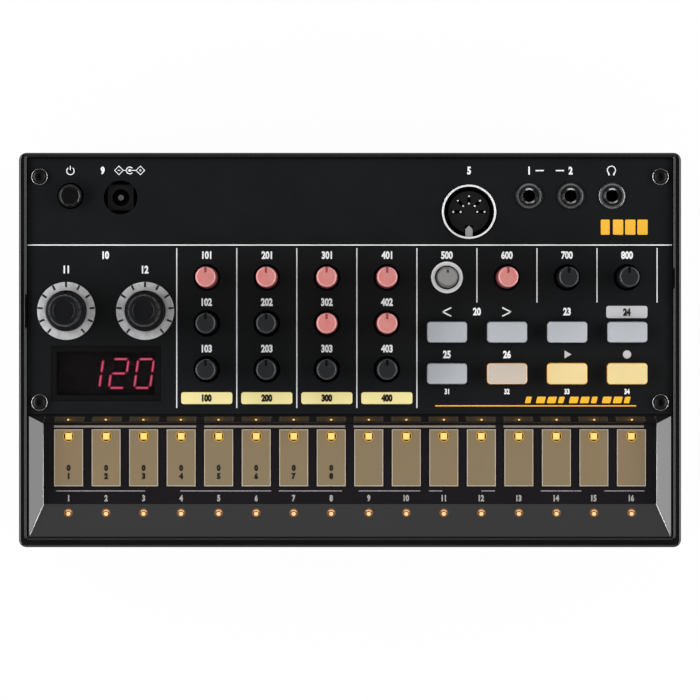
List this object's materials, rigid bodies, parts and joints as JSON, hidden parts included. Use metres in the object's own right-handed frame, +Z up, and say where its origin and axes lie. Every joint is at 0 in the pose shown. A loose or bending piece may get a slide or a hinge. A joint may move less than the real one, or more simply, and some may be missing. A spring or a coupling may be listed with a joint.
{
  "type": "drum machine",
  "caption": "Compact desktop drum machine: flat black box with turning knobs, push buttons, a lit display, a row of touch pads in a sloping tray, sockets on top and a sliding battery cover.",
  "frame": {"origin": "on the table, under the middle of the case", "axes": "+X to the player's right, +Y towards the sockets at the back, +Z up"},
  "size_m": [0.193, 0.115, 0.045],
  "materials": {
    "case_black": "glossy moulded, near black",
    "bottom_black": "fine-grained moulding, near black",
    "panel_black": "matte powder coat, charcoal black",
    "screw_black": "black oxide",
    "screw_steel": "zinc plated",
    "foot_rubber": "matte",
    "touch_black": "smooth solder mask, black with a violet cast",
    "pad_bronze": "dull bronze film",
    "light_yellow": "clear lens, lit",
    "ribbon_white": "flat flexible cable",
    "board_green": "solder mask",
    "pot_blue": "moulded body",
    "switch_black": "moulded body",
    "switch_white": "moulded body",
    "lamp_peach": "clear lens, lit",
    "window_black": "smoked window",
    "module_black": "moulded body",
    "segment_red": "lit segments",
    "ring_metal": "satin with engraved black ticks",
    "ring_grey": "satin",
    "shell_nickel": "bright nickel",
    "insulator_black": "moulded",
    "contact_tin": "tinned",
    "socket_black": "smooth moulding",
    "speaker_steel": "stamped",
    "cone_paper": "pressed paper",
    "cell_wrap": "printed sleeve",
    "cover_black": "fine-grained moulding",
    "dial_smoke": "polished smoke black",
    "knob_dark": "satin translucent, dark",
    "knob_pink": "translucent, lit from below",
    "knob_grey": "translucent, warm grey",
    "button_grey": "satin translucent",
    "button_peach": "satin translucent, lit rim",
    "button_amber": "satin translucent, lit",
    "power_black": "polished black"
  },
  "bodies": {
    "chassis": {"top_case": "case_black", "bottom_case": "bottom_black", "control_panel": "panel_black", "panel_screws": "screw_black", "case_screws": "screw_steel", "rubber_feet": "foot_rubber", "touch_board": "touch_black", "touch_pads": "pad_bronze", "step_lights": "light_yellow", "ribbon_cable": "ribbon_white", "main_board": "board_green", "small_potentiometers": "pot_blue", "large_potentiometers": "pot_blue", "button_switches": "switch_black", "power_switch": "switch_white", "indicator_lights": "lamp_peach", "display_window": "window_black", "display_module": "module_black", "display_segments": "segment_red", "dial_rings": "ring_metal", "speed_knob_ring": "ring_grey", "data_socket_shell": "shell_nickel", "data_socket_insulator": "insulator_black", "data_socket_contacts": "contact_tin", "sync_sockets": "socket_black", "headphone_socket": "socket_black", "power_socket": "socket_black", "power_socket_pin": "shell_nickel", "speaker_frame": "speaker_steel", "speaker_cone": "cone_paper", "battery_cells": "cell_wrap", "battery_contacts": "screw_steel"},
    "stutter_time_knob": {"stutter_time_knob": "dial_smoke"},
    "stutter_depth_knob": {"stutter_depth_knob": "dial_smoke"},
    "kick_click_knob": {"kick_click_knob": "knob_pink"},
    "kick_pitch_knob": {"kick_pitch_knob": "knob_dark"},
    "kick_decay_knob": {"kick_decay_knob": "knob_dark"},
    "snare_snappy_knob": {"snare_snappy_knob": "knob_pink"},
    "snare_pitch_knob": {"snare_pitch_knob": "knob_dark"},
    "snare_decay_knob": {"snare_decay_knob": "knob_dark"},
    "tom_high_pitch_knob": {"tom_high_pitch_knob": "knob_pink"},
    "tom_low_pitch_knob": {"tom_low_pitch_knob": "knob_pink"},
    "tom_decay_knob": {"tom_decay_knob": "knob_dark"},
    "hat_closed_decay_knob": {"hat_closed_decay_knob": "knob_pink"},
    "hat_open_decay_knob": {"hat_open_decay_knob": "knob_pink"},
    "hat_grain_knob": {"hat_grain_knob": "knob_dark"},
    "sample_speed_knob": {"sample_speed_knob": "knob_grey"},
    "tempo_knob": {"tempo_knob": "knob_pink"},
    "part_level_knob": {"part_level_knob": "knob_dark"},
    "volume_knob": {"volume_knob": "knob_dark"},
    "part_back_button": {"part_back_button": "button_grey"},
    "part_next_button": {"part_next_button": "button_grey"},
    "mute_button": {"mute_button": "button_grey"},
    "function_button": {"function_button": "button_grey"},
    "memory_button": {"memory_button": "button_grey"},
    "step_mode_button": {"step_mode_button": "button_peach"},
    "play_button": {"play_button": "button_amber"},
    "record_button": {"record_button": "button_amber"},
    "power_button": {"power_button": "power_black"},
    "battery_cover": {"battery_cover": "cover_black"}
  },
  "joints": [
    {"name": "stutter_time_turn", "type": "hinge", "parent": "chassis", "child": "stutter_time_knob", "pos_m": [-0.0827, 0.0114, 0.0345], "axis": [0, 0, 1], "range_deg": [-140, 140]},
    {"name": "stutter_depth_turn", "type": "hinge", "parent": "chassis", "child": "stutter_depth_knob", "pos_m": [-0.0597, 0.0114, 0.0345], "axis": [0, 0, 1], "range_deg": [-140, 140]},
    {"name": "kick_click_turn", "type": "hinge", "parent": "chassis", "child": "kick_click_knob", "pos_m": [-0.04175, 0.02115, 0.0345], "axis": [0, 0, 1], "range_deg": [-140, 140]},
    {"name": "kick_pitch_turn", "type": "hinge", "parent": "chassis", "child": "kick_pitch_knob", "pos_m": [-0.04175, 0.00775, 0.0345], "axis": [0, 0, 1], "range_deg": [-140, 140]},
    {"name": "kick_decay_turn", "type": "hinge", "parent": "chassis", "child": "kick_decay_knob", "pos_m": [-0.04175, -0.00565, 0.0345], "axis": [0, 0, 1], "range_deg": [-140, 140]},
    {"name": "snare_snappy_turn", "type": "hinge", "parent": "chassis", "child": "snare_snappy_knob", "pos_m": [-0.02425, 0.02115, 0.0345], "axis": [0, 0, 1], "range_deg": [-140, 140]},
    {"name": "snare_pitch_turn", "type": "hinge", "parent": "chassis", "child": "snare_pitch_knob", "pos_m": [-0.02425, 0.00775, 0.0345], "axis": [0, 0, 1], "range_deg": [-140, 140]},
    {"name": "snare_decay_turn", "type": "hinge", "parent": "chassis", "child": "snare_decay_knob", "pos_m": [-0.02425, -0.00565, 0.0345], "axis": [0, 0, 1], "range_deg": [-140, 140]},
    {"name": "tom_high_pitch_turn", "type": "hinge", "parent": "chassis", "child": "tom_high_pitch_knob", "pos_m": [-0.00675, 0.02115, 0.0345], "axis": [0, 0, 1], "range_deg": [-140, 140]},
    {"name": "tom_low_pitch_turn", "type": "hinge", "parent": "chassis", "child": "tom_low_pitch_knob", "pos_m": [-0.00675, 0.00775, 0.0345], "axis": [0, 0, 1], "range_deg": [-140, 140]},
    {"name": "tom_decay_turn", "type": "hinge", "parent": "chassis", "child": "tom_decay_knob", "pos_m": [-0.00675, -0.00565, 0.0345], "axis": [0, 0, 1], "range_deg": [-140, 140]},
    {"name": "hat_closed_decay_turn", "type": "hinge", "parent": "chassis", "child": "hat_closed_decay_knob", "pos_m": [0.01075, 0.02115, 0.0345], "axis": [0, 0, 1], "range_deg": [-140, 140]},
    {"name": "hat_open_decay_turn", "type": "hinge", "parent": "chassis", "child": "hat_open_decay_knob", "pos_m": [0.01075, 0.00775, 0.0345], "axis": [0, 0, 1], "range_deg": [-140, 140]},
    {"name": "hat_grain_turn", "type": "hinge", "parent": "chassis", "child": "hat_grain_knob", "pos_m": [0.01075, -0.00565, 0.0345], "axis": [0, 0, 1], "range_deg": [-140, 140]},
    {"name": "sample_speed_turn", "type": "hinge", "parent": "chassis", "child": "sample_speed_knob", "pos_m": [0.02825, 0.02115, 0.0345], "axis": [0, 0, 1], "range_deg": [-140, 140]},
    {"name": "tempo_turn", "type": "hinge", "parent": "chassis", "child": "tempo_knob", "pos_m": [0.04575, 0.02115, 0.0345], "axis": [0, 0, 1], "range_deg": [-140, 140]},
    {"name": "part_level_turn", "type": "hinge", "parent": "chassis", "child": "part_level_knob", "pos_m": [0.06325, 0.02115, 0.0345], "axis": [0, 0, 1], "range_deg": [-140, 140]},
    {"name": "volume_turn", "type": "hinge", "parent": "chassis", "child": "volume_knob", "pos_m": [0.08075, 0.02115, 0.0345], "axis": [0, 0, 1], "range_deg": [-140, 140]},
    {"name": "part_back_press", "type": "slide", "parent": "chassis", "child": "part_back_button", "axis": [0, 0, -1], "range_m": [0, 0.0009], "stiffness_N_per_m": 300, "springref_m": -0.002},
    {"name": "part_next_press", "type": "slide", "parent": "chassis", "child": "part_next_button", "axis": [0, 0, -1], "range_m": [0, 0.0009], "stiffness_N_per_m": 300, "springref_m": -0.002},
    {"name": "mute_press", "type": "slide", "parent": "chassis", "child": "mute_button", "axis": [0, 0, -1], "range_m": [0, 0.0009], "stiffness_N_per_m": 300, "springref_m": -0.002},
    {"name": "function_press", "type": "slide", "parent": "chassis", "child": "function_button", "axis": [0, 0, -1], "range_m": [0, 0.0009], "stiffness_N_per_m": 300, "springref_m": -0.002},
    {"name": "memory_press", "type": "slide", "parent": "chassis", "child": "memory_button", "axis": [0, 0, -1], "range_m": [0, 0.0009], "stiffness_N_per_m": 300, "springref_m": -0.002},
    {"name": "step_mode_press", "type": "slide", "parent": "chassis", "child": "step_mode_button", "axis": [0, 0, -1], "range_m": [0, 0.0009], "stiffness_N_per_m": 300, "springref_m": -0.002},
    {"name": "play_press", "type": "slide", "parent": "chassis", "child": "play_button", "axis": [0, 0, -1], "range_m": [0, 0.0009], "stiffness_N_per_m": 300, "springref_m": -0.002},
    {"name": "record_press", "type": "slide", "parent": "chassis", "child": "record_button", "axis": [0, 0, -1], "range_m": [0, 0.0009], "stiffness_N_per_m": 300, "springref_m": -0.002},
    {"name": "power_press", "type": "slide", "parent": "chassis", "child": "power_button", "axis": [0, 0, -1], "range_m": [0, 0.002], "stiffness_N_per_m": 400, "springref_m": -0.002},
    {"name": "battery_cover_slide", "type": "slide", "parent": "chassis", "child": "battery_cover", "axis": [0, 1, 0], "range_m": [0, 0.058]}
  ]
}
